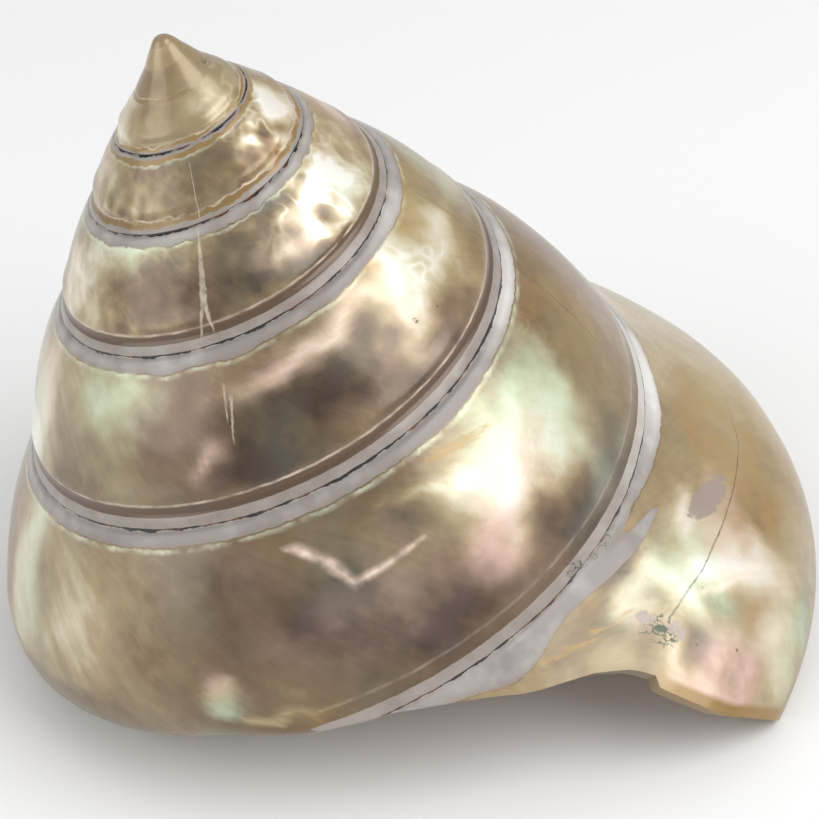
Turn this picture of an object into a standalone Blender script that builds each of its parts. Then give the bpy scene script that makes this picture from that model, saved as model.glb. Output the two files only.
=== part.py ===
"""A polished, pearly, cone-shaped turban shell, about 100 mm across, resting on its lip and its keel.

The shell is one piece, drawn the way that it grew. A growth line is the outline of the lip at one
age. It starts at the suture, runs down the side of the whorl, turns under at the keel and crosses
the base to the central pillar. As the shell ages, that line turns about the axis, widens and moves
down. The outside, the rim of the mouth and the hollow are all rows of growth lines, and no plain
tool makes such a form, so one loft joins them.

Ages are counted in turns. In the shell's own frame the axis is Z, the apex is up and growth runs
clockwise seen from above. The finished shell is then leaned over onto the points that it rests on.
"""

import math

import bmesh
import bpy
import numpy as np
from mathutils import Matrix, Vector

# The spiral that the sutures and the keel follow, in metres. Age 0 is on the +X side.
SUTURE_RADIUS = 0.040  # at age 0
SUTURE_DROP = 0.0622  # below the tip at age 0
WIDEN = (0.3189, -0.0244, 0.0006)  # of the radius's logarithm, per turn, turn squared and cubed
STEEPEN = (1.3296, 0.092)  # how the drop follows the radius's logarithm
TIP_DROP = 0.0028  # of the whole spiral below the shell's own origin
TIP_HEIGHT = -0.0030
FLARE = 0.018  # how much wider the keel is at the lip than the spiral makes it
FLARE_AGES = (0.45, 0.95)

# Growth lines, in turns.
LIP_AGE = 1.075  # where growth stopped, at the keel
LEAN_EVEN = 0.09  # how far a growth line runs ahead at the suture, the even part
LEAN_TOP = 0.052  # and the part near the suture alone
LEAN_TOP_POWER = 8
LEAN = LEAN_EVEN + LEAN_TOP
LEAN_ON_BASE = -0.03  # how far it runs ahead at the pillar
LINES_TO_SUTURE = 36  # growth lines between a point of the keel and the same point as a suture
AGE_STEP = (1 - LEAN) / LINES_TO_SUTURE
LINES = 300
OPEN_AGE = LIP_AGE - 1 + LEAN  # where the lip meets the last whorl, and its keel comes free

# The side of a whorl, from suture to suture.
SIDE_STEPS = 8
BOW_YOUNG, BOW_MIDDLE, BOW_LAST = 0.028, 0.06, 0.105  # of the side's width
BOW_MIDDLE_AGES = (-3.0, -1.6)
BOW_LAST_AGES = (-0.55, -0.1)
FULLEST_YOUNG, FULLEST_LAST = 0.9, 1.7  # above 1 the fullest part is nearer the keel

# The rounded keel, as shares of the keel's radius.
KEEL_STEPS = 4
KEEL_ROUND_UP, KEEL_ROUND_IN = 0.17, 0.17
KEEL_ROUND_IN_LEAST = 0.06
KEEL_ROUND_GROWS = (OPEN_AGE, 0.3)
KEEL_SHARPENS = (0.6, 1.0)
KEEL_ROUND_LIP = 0.06

# The base, and the funnel in its middle.
BASE_STEPS = 8
BASE_BOW = 0.045  # of the keel's radius
BASE_BOW_LIP = -0.02  # the base turns slightly hollow at the lip
BASE_BOW_AGES = (0.7, 1.0)
BASE_RISE = 0.14  # at the pillar, of the keel's radius
PILLAR = 0.2  # radius of the central pillar, of the keel's radius
FUNNEL = 0.09  # radius of the ring half way down the funnel, of the keel's radius
FUNNEL_DEPTH_AT_RING = 0.6  # of the way from the base to the funnel's floor
FUNNEL_FLOOR = -0.0675

# The hollow that the animal lived in.
WALL = 0.075  # of the keel's radius
WALL_AT_LIP = 0.6  # of the wall elsewhere
LIP_TAPER = 0.06  # in turns
PILLAR_STEPS = 4
HOLLOW_LINES = 32  # growth lines from the lip to where the hollow is closed

# The chip broken out of the lip.
CHIP = (  # share of the way across the side, depth in turns
    (0.2, 0.0), (0.275, 0.014), (0.375, 0.018), (0.45, 0.016), (0.5, 0.0095), (0.77, 0.0)
)
CHIP_LINES = 3  # growth lines that it reaches back over

# How the shell stands, in degrees, and how much is worn flat where it rests.
TURN_ON_AXIS = 73.27
LEAN_OVER = 12.78
TURN_TO_FRONT = -80.74
WORN = 0.0005

SHARP_ANGLE = math.radians(40)
PEARL = (0.62, 0.56, 0.45, 1.0)
PEARL_METALLIC = 0.3
PEARL_ROUGHNESS = 0.25


def smooth(value, start, end):
    """0 up to start, 1 from end on, and an even S between them."""
    share = min(1.0, max(0.0, (value - start) / (end - start)))
    return share * share * (3 - 2 * share)


def blend(first, second, share):
    return first + (second - first) * share


def spiral(age):
    """(radius, height) of the suture and keel line."""
    growth = sum(rate * age ** (power + 1) for power, rate in enumerate(WIDEN))
    drop = SUTURE_DROP * math.exp(growth * (STEEPEN[0] + STEEPEN[1] * growth))
    flare = 1 + FLARE * smooth(age, *FLARE_AGES)
    return SUTURE_RADIUS * flare * math.exp(growth), -drop - TIP_DROP


def lean(across):
    """How far ahead of the keel a growth line is, at this share of the way from suture to keel."""
    left = 1 - across
    return LEAN_EVEN * left + LEAN_TOP * left**LEAN_TOP_POWER


def on_side(keel_age, across):
    """(radius, height, age) on the side of a whorl, on the growth line with this age at the keel."""
    age = keel_age - 1 + lean(across)
    (top_radius, top_height), (low_radius, low_height) = spiral(age), spiral(age + 1)
    wide, high = low_radius - top_radius, low_height - top_height
    bow = blend(BOW_YOUNG, BOW_MIDDLE, smooth(age, *BOW_MIDDLE_AGES))
    bow = blend(bow, BOW_LAST, smooth(age, *BOW_LAST_AGES))
    fullest = blend(FULLEST_YOUNG, FULLEST_LAST, smooth(age, *BOW_LAST_AGES))
    out = bow * math.sin(math.pi * across**fullest)
    return Vector(
        (top_radius + wide * across - high * out, top_height + high * across + wide * out, age)
    )


def on_base(keel_age, inward):
    """(radius, height, age) on the base, at this share of the way from the keel to the pillar."""
    radius, height = spiral(keel_age)
    bow = blend(BASE_BOW, BASE_BOW_LIP, smooth(keel_age, *BASE_BOW_AGES))
    return Vector(
        (
            radius * blend(1, PILLAR, inward),
            height + (BASE_RISE * inward**2 - bow * math.sin(math.pi * inward)) * radius,
            keel_age - 1 + LEAN_ON_BASE * inward,
        )
    )


def keel_rounding(keel_age):
    """How far the rounding reaches up the side and in along the base, as shares of those."""
    share = smooth(keel_age, *KEEL_ROUND_GROWS)
    sharper = smooth(keel_age, *KEEL_SHARPENS)
    up = blend(KEEL_ROUND_UP, KEEL_ROUND_LIP, sharper) * share
    inward = max(blend(KEEL_ROUND_IN, KEEL_ROUND_LIP, sharper) * share, KEEL_ROUND_IN_LEAST)
    radius, height = spiral(keel_age)
    top_radius, top_height = spiral(keel_age - 1)
    side_width = math.hypot(radius - top_radius, height - top_height)
    return up * radius / side_width, inward / (1 - PILLAR)


def growth_line(keel_age):
    """(radius, height, age) of each point of the outside, from the suture to the pillar."""
    up, inward = keel_rounding(keel_age)
    side_end = 1 - up
    points = [on_side(keel_age, side_end * step / SIDE_STEPS) for step in range(SIDE_STEPS + 1)]
    radius, height = spiral(keel_age)
    corner = Vector((radius, height, keel_age - 1))
    base_start = on_base(keel_age, inward)
    for step in range(1, KEEL_STEPS + 1):
        share = step / KEEL_STEPS
        above = points[SIDE_STEPS].lerp(corner, share)
        points.append(above.lerp(corner.lerp(base_start, share), share))
    for step in range(1, BASE_STEPS + 1):
        points.append(on_base(keel_age, blend(inward, 1, step / BASE_STEPS)))
    return points


def wall_at(line, point):
    """Thickness of the wall, thinned towards the lip."""
    taper = blend(WALL_AT_LIP, 1, smooth(line * AGE_STEP, 0, LIP_TAPER))
    return WALL * taper * spiral(point[2] + 1)[0]


def inner_line(line, outside):
    """The points inside the wall, one for each of the outside's points after the suture."""
    inside = []
    for step in range(1, len(outside)):
        before = outside[step - 1]
        after = outside[min(step + 1, len(outside) - 1)]
        along = Vector((after[0] - before[0], after[1] - before[1])).normalized()
        wall = wall_at(line, outside[step])
        inside.append(outside[step] + Vector((along.y, -along.x, 0)) * wall)
    pillar_side = inside[-1]
    pillar_side[0] = outside[-1][0] + wall_at(line, outside[-1])
    return inside


def chip_at(line, across):
    """How far the lip is broken back, in turns."""
    if line >= CHIP_LINES:
        return 0.0
    shares, depths = zip(*CHIP)
    return float(np.interp(across, shares, depths)) * (1 - line / CHIP_LINES)


def place(point, set_back=0.0):
    """The point in the shell's own frame."""
    radius, height, age = point
    angle = -2 * math.pi * (age - set_back)
    return Vector((radius * math.cos(angle), radius * math.sin(angle), height))


def strip(mesh, first, second):
    """Quads, or triangles where a point is shared, between two rows of vertices."""
    for pair in zip(zip(first, second), zip(first[1:], second[1:])):
        (a, b), (d, c) = pair
        corners = list(dict.fromkeys((a, b, c, d)))
        if len(corners) > 2:
            mesh.faces.new(corners)


def outside_rows(mesh):
    """Vertex rows of the outside's growth lines. A row's first vertex is the suture it grew on."""
    tip = mesh.verts.new((0, 0, TIP_HEIGHT))
    rows = []
    for line in range(LINES + 1):
        points = growth_line(LIP_AGE - line * AGE_STEP)
        if line > HOLLOW_LINES + LINES_TO_SUTURE:
            points = points[: SIDE_STEPS + 1]
        row = [None]
        for step, point in enumerate(points[1:], start=1):
            chip = chip_at(line, step / SIDE_STEPS)
            row.append(mesh.verts.new(place(point, chip)))
        rows.append(row)
    for line, row in enumerate(rows):
        on_older = line + LINES_TO_SUTURE
        row[0] = rows[on_older][SIDE_STEPS] if on_older <= LINES else tip
    return rows


def inside_rows(mesh, rows):
    """Vertex rows round the hollow: down the wall, along the base, up the pillar, and back along
    the base of the whorl before, which is the hollow's roof."""
    loops = []
    for line in range(HOLLOW_LINES + 1):
        roof = rows[line + LINES_TO_SUTURE][SIDE_STEPS + KEEL_STEPS :]
        outside = growth_line(LIP_AGE - line * AGE_STEP)
        points = inner_line(line, outside)
        wall = []
        for step, point in enumerate(points, start=1):
            chip = chip_at(line, step / SIDE_STEPS)
            wall.append(mesh.verts.new(place(point, chip)))
        older = growth_line(LIP_AGE - (line + LINES_TO_SUTURE) * AGE_STEP)
        low, high = points[-1], older[-1] + Vector((0, 0, 1))
        pillar = []
        for step in range(1, PILLAR_STEPS):
            pillar.append(mesh.verts.new(place(low.lerp(high, step / PILLAR_STEPS))))
        loops.append([roof[0]] + wall + pillar + roof[::-1])
    return loops


def make_shell():
    """The shell's mesh, in the shell's own frame."""
    mesh = bmesh.new()
    rows = outside_rows(mesh)
    loops = inside_rows(mesh, rows)
    side = slice(0, SIDE_STEPS + 1)
    for older, newer in zip(rows[1:], rows):
        strip(mesh, older[side], newer[side])
    mesh.faces.new(rows[-1])

    # The keel and the base are outside only from where the lip meets the last whorl.
    base = slice(SIDE_STEPS, None)
    floor = mesh.verts.new((0, 0, FUNNEL_FLOOR))
    ring = []
    for line in range(LINES_TO_SUTURE + 1):
        keel_age = LIP_AGE - line * AGE_STEP
        edge = growth_line(keel_age)[-1]
        height = blend(edge[1], FUNNEL_FLOOR, FUNNEL_DEPTH_AT_RING)
        ring.append(mesh.verts.new(place((FUNNEL * spiral(keel_age)[0], height, edge[2]))))
    for line in range(LINES_TO_SUTURE):
        strip(
            mesh,
            rows[line + 1][base] + [ring[line + 1], floor],
            rows[line][base] + [ring[line], floor],
        )

    # The rim of the mouth, then the end of the pillar.
    lip, last_whorl = rows[0], rows[LINES_TO_SUTURE]
    rim = loops[0]
    on_keel = last_whorl[SIDE_STEPS : SIDE_STEPS + KEEL_STEPS + 1]
    mesh.faces.new([lip[0]] + on_keel[1:] + [rim[1], lip[1]])
    wall_end = len(lip)
    strip(mesh, lip[1:], rim[1:wall_end])
    pillar = rim[wall_end - 1 : wall_end + PILLAR_STEPS]
    strip(mesh, [lip[-1], ring[0], floor, ring[LINES_TO_SUTURE], pillar[-1]], pillar)

    for deeper, nearer in zip(loops[1:], loops):
        strip(mesh, deeper, nearer)
    bmesh.ops.contextual_create(mesh, geom=ring_edges(mesh, loops[-1]))
    bmesh.ops.triangulate(mesh, faces=mesh.faces)
    bmesh.ops.recalc_face_normals(mesh, faces=mesh.faces)
    return mesh


def ring_edges(mesh, loop):
    """The edges round a closed row of vertices whose first and last are the same."""
    return [mesh.edges.get(pair) for pair in zip(loop, loop[1:])]


def stand(mesh):
    """Lean the shell over as it rests, with its box centred over the origin, and wear it flat there."""
    turn = (
        Matrix.Rotation(math.radians(TURN_TO_FRONT), 4, "Z")
        @ Matrix.Rotation(math.radians(LEAN_OVER), 4, "X")
        @ Matrix.Rotation(math.radians(TURN_ON_AXIS), 4, "Z")
    )
    bmesh.ops.transform(mesh, matrix=turn, verts=mesh.verts)
    spans = [[vertex.co[axis] for vertex in mesh.verts] for axis in range(3)]
    middle_x, middle_y = ((min(span) + max(span)) / 2 for span in spans[:2])
    lowest = min(spans[2]) + WORN
    bmesh.ops.translate(mesh, vec=(-middle_x, -middle_y, -lowest), verts=mesh.verts)
    everything = mesh.verts[:] + mesh.edges[:] + mesh.faces[:]
    cut = bmesh.ops.bisect_plane(
        mesh, geom=everything, plane_co=(0, 0, 0), plane_no=(0, 0, 1), clear_inner=True
    )
    edges = [item for item in cut["geom_cut"] if isinstance(item, bmesh.types.BMEdge)]
    bmesh.ops.holes_fill(mesh, edges=edges)
    bmesh.ops.recalc_face_normals(mesh, faces=mesh.faces)


def pearl_material():
    material = bpy.data.materials.new("polished_pearl")
    material.use_nodes = True
    shader = material.node_tree.nodes["Principled BSDF"]
    shader.inputs["Base Color"].default_value = PEARL
    shader.inputs["Metallic"].default_value = PEARL_METALLIC
    shader.inputs["Roughness"].default_value = PEARL_ROUGHNESS
    return material


def main():
    for item in list(bpy.data.objects):
        bpy.data.objects.remove(item)
    collection = bpy.data.collections.new("turban_shell")
    bpy.context.scene.collection.children.link(collection)
    mesh = make_shell()
    stand(mesh)
    data = bpy.data.meshes.new("shell")
    mesh.to_mesh(data)
    mesh.free()
    data.materials.append(pearl_material())
    data.shade_smooth()
    data.set_sharp_from_angle(angle=SHARP_ANGLE)
    collection.objects.link(bpy.data.objects.new("shell", data))


if __name__ == "__main__":
    main()
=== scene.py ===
"""Looks of a polished, pearly top shell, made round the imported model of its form.

The shell is drawn the way that it grew, as rows of growth lines, so each point of its surface knows
its age in turns, its place across the whorl and its distance from the sutures. The finish is built
from those: pearl that drifts from taupe to cream, green and pink, white unpolished strips along the
sutures, a brown groove above them, and the marks of wear.

Lengths are in metres unless a name says millimetres.
"""

import math
import random

import bmesh
import bpy
import numpy as np
from bpy.props import FloatProperty, FloatVectorProperty, PointerProperty
from mathutils import Matrix, Vector, noise


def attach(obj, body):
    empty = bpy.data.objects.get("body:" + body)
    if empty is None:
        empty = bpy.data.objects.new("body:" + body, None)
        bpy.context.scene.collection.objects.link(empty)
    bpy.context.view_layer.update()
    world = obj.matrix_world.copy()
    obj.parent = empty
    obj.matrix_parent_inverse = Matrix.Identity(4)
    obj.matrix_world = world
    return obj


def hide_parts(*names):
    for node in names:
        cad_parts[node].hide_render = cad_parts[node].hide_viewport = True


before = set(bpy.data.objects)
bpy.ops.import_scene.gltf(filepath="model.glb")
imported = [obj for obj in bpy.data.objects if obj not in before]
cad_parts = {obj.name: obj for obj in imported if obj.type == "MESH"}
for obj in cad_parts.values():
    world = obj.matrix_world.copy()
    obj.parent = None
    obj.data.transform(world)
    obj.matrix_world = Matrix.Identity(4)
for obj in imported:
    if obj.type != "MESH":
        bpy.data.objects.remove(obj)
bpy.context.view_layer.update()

bl_info = {
    "name": "Pearly top shell",
    "version": (1, 0, 0),
    "blender": (4, 5, 0),
    "location": "3D View > Sidebar > Top shell",
    "description": "Makes a polished top shell and the stage that it stands on",
    "category": "Add Mesh",
}

MM = 0.001

# The form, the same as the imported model's, in metres, turns and shares.
SUTURE_RADIUS = 0.040
SUTURE_DROP = 0.0622
WIDEN = (0.3189, -0.0244, 0.0006)  # how the radius grows with age
STEEPEN = (1.3296, 0.092)  # how much faster the height grows
TIP_DROP = 0.0028
TIP_HEIGHT = -0.0030
FLARE = 0.018  # how much the mouth widens
FLARE_AGES = (0.45, 0.95)
LIP_AGE = 1.075
LEAN_EVEN = 0.09  # how far a growth line leans back, in turns
LEAN_TOP = 0.052
LEAN_TOP_POWER = 8
LEAN = LEAN_EVEN + LEAN_TOP
LEAN_ON_BASE = -0.03
OPEN_AGE = LIP_AGE - 1 + LEAN  # from here on nothing covers the keel

# How far the side bulges, as a share of its width, and which part of it is the fullest.
BOW_YOUNG, BOW_MIDDLE, BOW_LAST = 0.028, 0.06, 0.105
BOW_MIDDLE_AGES = (-3.0, -1.6)
BOW_LAST_AGES = (-0.55, -0.1)
FULLEST_YOUNG, FULLEST_LAST = 0.9, 1.7

# How far the keel is rounded off, up the side and in along the base, as shares of its radius.
KEEL_ROUND_UP, KEEL_ROUND_IN = 0.17, 0.17
KEEL_ROUND_IN_LEAST = 0.06
KEEL_ROUND_GROWS = (OPEN_AGE, 0.3)
KEEL_SHARPENS = (0.6, 1.0)
KEEL_ROUND_LIP = 0.06

# The base, the pillar, the funnel and the wall, as shares of the keel's radius.
BASE_BOW = 0.045  # how far the base bulges
BASE_BOW_LIP = -0.02
BASE_BOW_AGES = (0.7, 1.0)
BASE_RISE = 0.14  # how far its middle is sunk
PILLAR, FUNNEL = 0.2, 0.09
FUNNEL_DEPTH_AT_RING = 0.6  # as a share of the way down to its floor
FUNNEL_FLOOR = -0.0675  # height in metres
WALL = 0.075
WALL_AT_LIP = 0.6  # as a share of the wall's thickness
LIP_TAPER = 0.06  # turns

# The chip in the lip: places across the side, and how deep it is there, in turns.
CHIP = (
    (0.18, 0.0), (0.25, 0.014), (0.34, 0.018), (0.41, 0.016), (0.455, 0.0095), (0.7, 0.0)
)
CHIP_AGES = 0.071  # how far back from the lip it reaches

# How the shell stands: degrees, then where its own origin is.
TURN_ON_AXIS, LEAN_OVER, TURN_TO_FRONT = 73.27, 12.78, -80.74
STAND_AT = (-0.022901, -0.006047, 0.086631)

# The camera of the photograph.
CAMERA_AT = (0.00175, -0.32199, 0.25444)
CAMERA_TURN = (54.514, 4.086, -2.909)
LENS_MM = 140.74
SENSOR_MM = 36.0

# The studio: watts, size and place of each soft lamp, and what they all face.
FLOOR_HALF = 2.0
FLOOR_COLOUR = (0.9, 0.9, 0.9, 1)
FLOOR_ROUGHNESS = 0.8
SKY_COLOUR = (1, 1, 1, 1)
SKY_STRENGTH = 0.66
LAMPS = {
    "key": (3.0, 0.62, (0.44, -0.26, 0.46)),
    "side": (1.0, 0.5, (-0.5, -0.2, 0.25)),
}
LAMPS_FACE = (0, 0, 0.03)

# Places on the surface: 0 to 1 across the side, 1 to 2 round the keel, 2 to 3 along the base.
KEEL, BASE, INSIDE = 1.0, 2.0, 4.0
FUNNEL_PLACES = (BASE + 1.1, BASE + 1.2)  # its edge and its floor
PILLAR_END_PLACE = INSIDE + 0.5
INSIDE_STARTS = (INSIDE - 0.6, INSIDE - 0.4)

# How finely the surface is drawn.
FINER = 6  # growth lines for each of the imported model's
LINES_TO_SUTURE = 36 * FINER
AGE_STEP = (1 - LEAN) / LINES_TO_SUTURE
LINES = 340 * FINER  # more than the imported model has, so that the tip is rounder
HOLLOW_LINES = 32 * FINER
SIDE_STEPS = 36
SIDE_CROWDING = 0.6  # how much closer the steps are near the sutures
KEEL_STEPS = 8
BASE_STEPS = 16
PILLAR_STEPS = 8
SHARP_DEGREES = 50

# Relief along the sutures, in millimetres of the whorl before the last. It grows with the whorls.
BAND_WIDTH_AT = 0.024  # the width of that whorl's side, in metres
BAND_POWER = 0.45
GROOVE_FROM_SUTURE_MM = 2.2
RIM_FROM_SUTURE_MM = 3.9
RIM_WIDTH_MM = 1.3
STEP_WIDTH_MM = 0.35
BANDS_BEGIN = (-4.4, -3.6)  # ages of the seam where its groove and rim grow from nothing
GROOVE_FADES = (-0.6, -0.1)  # ages of the seam where its groove grows shallow
GROOVE_LEFT_ON_LAST = 0.25
GROOVE_END_AGE = OPEN_AGE + 0.02
GROOVE_END_FADE = 0.03
STRIP_END_AGE = OPEN_AGE + 0.03  # the strip goes on along the free keel up to here
KEEL_STRIP_PLACE = 1.6
KEEL_STRIP_LAP = 0.02
MIDDLE_OF_STRIP_MM = 0.6
FAR_MM = 99.0

# Relief of the polished surface between the sutures, in millimetres.
CLEAR_BELOW_MM = (1.0, 3.0)  # where it begins below the upper suture
CLEAR_ABOVE_MM = (1.5, 4.0)  # where it ends above the lower one
WAVE_SIZE_MM = 11.0
WAVE_HEIGHT_MM = 0.22
WAVE_AGES = (-2.5, -1.5)
WAVE_SEED = 3.0
CREASE_HEIGHT_MM = 0.22
RIPPLE_HEIGHT_MM = 0.22
# The ripples are painted into the pearl's colour as light and shade, as well as shaped in the relief.
RIPPLE_PAINTED_SHADING = 0.55  # how much a ripple lightens or darkens the pearl
RIPPLE_GAIN = 1.6  # brings the noise up to about 1 at its highest
RIPPLE_SEED_STEP = 11.0
RIPPLES = (
    # where they are, as for the patches, how strong they are, and the size of a ripple
    ((-2.89, 0.50, 8.0, 9.0, 0, 1.0), 3.2),
    ((-2.68, 0.80, 9.0, 3.0, 0, 0.3), 2.4),
    ((-3.92, 0.50, 4.0, 6.0, 0, 0.8), 2.2),
    ((-3.65, 0.80, 6.0, 3.0, 0, 0.4), 1.5),
    ((0.085, 0.35, 14.0, 12.0, 0, 0.55), 5.0),
    ((-0.86, 0.40, 9.0, 9.0, 0, 0.5), 4.5),
    ((-1.90, 0.40, 8.0, 7.0, 0, 0.4), 4.0),
)

# How much the worn tip is rounded out.
DOME_HEIGHT_MM = 2.3
DOME_RADIUS_MM = 2.6
TIP_ROUND_MM = 1.3
TIP_STEEPNESS = 1.4

# How the patches of the pearl are made uneven, and how far from its middle one is worked out.
WARPS = ((6.0, 3.0), (2.2, 1.2))  # size and shift, in millimetres
WARP_SEEDS = (7.0, 31.0)  # along the whorl and across it
PATCH_REACH = 0.3  # turns

# The finish of the pearl and of the chalky strips.
NACRE_METALLIC = 0.25
NACRE_ROUGHNESS = 0.33
STRIP_ROUGHNESS = 0.42
COAT_WEIGHT = 0.4
COAT_ROUGHNESS = 0.1
DIMPLE_MM = 1.8
DIMPLE_DEPTH_MM = 0.02
MIX_FACTOR, MIX_UNDER, MIX_OVER, MIX_RESULT = 0, 6, 7, 2  # sockets of a mix of colours
LUMPY_RANGE = (0.3, 0.7)  # nearly all of a noise texture lies between these

# What changes along the spiral: the first and the last age of the change, and the value at each.
PEARL_LEVEL = (-4.6, -1.2, 0.44, 0.3)  # how light the pearl is, from 0 to 1
LAST_WHORL_LIGHTER = (-0.42, -0.1, 0.0, 0.18)
CLOUD_LIGHT = (-5.0, -4.3, 0.03, 0.1)
MOTTLE_LIGHT = (-5.0, -4.3, 0.02, 0.09)
GROOVE_STRENGTH = (-0.5, -0.05, 0.95, 0.25)
GROOVE_START_MM = (-3.1, -2.3, 0.55, 1.4)
GROOVE_END_MM = (-3.1, -2.3, 1.3, 2.85)
UPPER_STRIP_MM = (-3.1, -2.3, 0.55, 1.45)
LOWER_STRIP_MM = (-4.0, -2.9, 0.5, 1.85)
WANDER_BELOW_MM = (-2.9, -1.9, 0.32, 0.1)
WANDER_ABOVE_MM = (-2.9, -1.9, 0.45, 0.05)
SEAM_THICKER = (-4.0, -2.6, 1.5, 1.0)
LINE_GOLDEN = (-3.7, -2.9, 1.0, 0.0)

# The ages between which something begins or ends, with values worked out where it is used.
STRIP_BEGINS = (-4.25, -4.1)
GROOVE_BEGINS = (-4.9, -4.5)
GROOVE_BROWNS = (-3.0, -1.8)
MOTTLE_SETTLES = (-2.6, -1.6)
PALE_LINE_STOPS = (-0.3, -0.12)
SEAM_STOPS = (OPEN_AGE + 0.002, OPEN_AGE)

# The pearl's kinds of unevenness: how big they are, and how much light or tint they add.
FINE_STREAKS = (260.0, 2.5, 1.0)  # how many in a turn, and across the whorl
FINE_STREAK_LIGHT = 0.022
BROAD_STREAKS = (70.0, 1.5, 1.0)
BROAD_STREAK_LIGHT = 0.12
HOLLOW_MM = 3.6
CREST_WIDTH = 0.1
CREST_HIGHLIGHT_TO_HOLLOW_SHADE = (0.22, -0.14)
CLOUD_MM = 12.0
MOTTLE_MM = 2.0
MOTTLE_LIGHT_SETTLED = 0.032
PEARL_STOPS = (0.0, 0.3, 0.55, 0.8, 1.0)  # how light the pearl is at each of its five tones
DRIFT_MM = 15.0
DRIFT_TINT = 0.11
TINT_BREAKS_MM = 4.0
TINT_MOST = 0.75

# The edges of the bands, in millimetres. A pair is how far past its edge a band has none and all
# of its colour.
STRIP_EDGE = (0.05, -0.05)
UPPER_STRIP_SOFT = 0.06
STRIP_SHADED = (-0.7, 0.0)
GROOVE_EDGES = ((-0.1, 0.1), (0.1, -0.2))
RIM_HIGHLIGHT_EDGES = ((-0.05, 0.12), (0.5, 0.3))
OLIVE_LINE_EDGES = ((-0.05, 0.05), (0.06, -0.06))
OLIVE_LINE_MM = (0.17, 0.9)  # its width, and that of the golden one on the young whorls
PALE_LINE_EDGES = ((-0.1, 0.15), (0.7, 0.25))
SEAM_REACH_MM = (0.05, 0.15)
SEAM_SOFT_MM = 0.05
SEAM_WOBBLE_MM = 0.07

# The marks of wear.
LIP_EDGE = (LIP_AGE - 1 - 0.0065, LIP_AGE - 1 - 0.004)
LIP_EDGE_STARTS = (0.4, 0.5)  # across the side
RAGGED_MM = 0.9
CRACKED_MM = 1.1
CRACK_WIDTH = (0.045, 0.015)  # how far from its middle value the noise is on a crack
PIT_SPACING_MM = 1.5
PITS_CHOSEN = (0.6, 0.62)  # two places in five have a pit
PIT_EDGE = (0.16, 0.08)  # as shares of the spacing
CREASE_EDGE = (1.7, 0.0)  # as shares of its half width
LINE_EDGE = (1.3, 0.7)

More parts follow.
